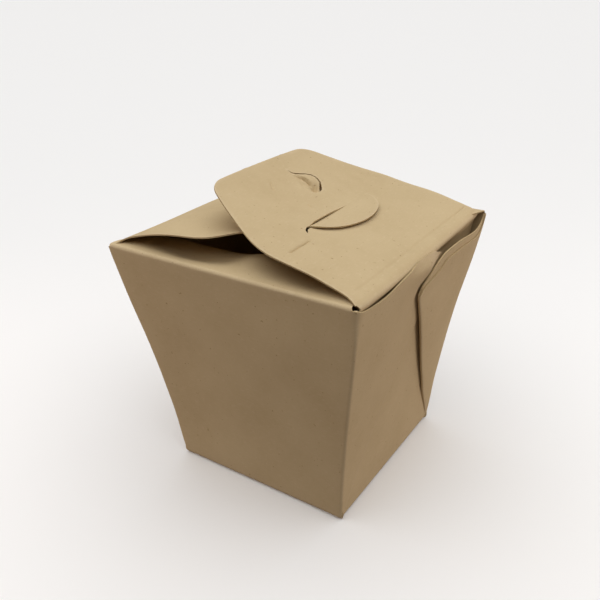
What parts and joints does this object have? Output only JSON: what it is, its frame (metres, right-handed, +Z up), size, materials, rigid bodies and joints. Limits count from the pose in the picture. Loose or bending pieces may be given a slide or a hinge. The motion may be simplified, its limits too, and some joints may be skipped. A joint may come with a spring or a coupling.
{
  "type": "folded noodle takeaway box",
  "caption": "Closed takeaway pail folded from plain kraft board, tapered and square, shut by a tongue through a slit in its top flap.",
  "frame": {"origin": "middle of the flat base, at its underside", "axes": "+Z up, -Y out of the plain front wall, +X out of the side wall that carries the main flap"},
  "size_m": [0.1058, 0.102, 0.1189],
  "materials": {
    "kraft_board": "matt uncoated brown kraft board"
  },
  "bodies": {
    "root": {"carton": "kraft_board"}
  },
  "joints": []
}
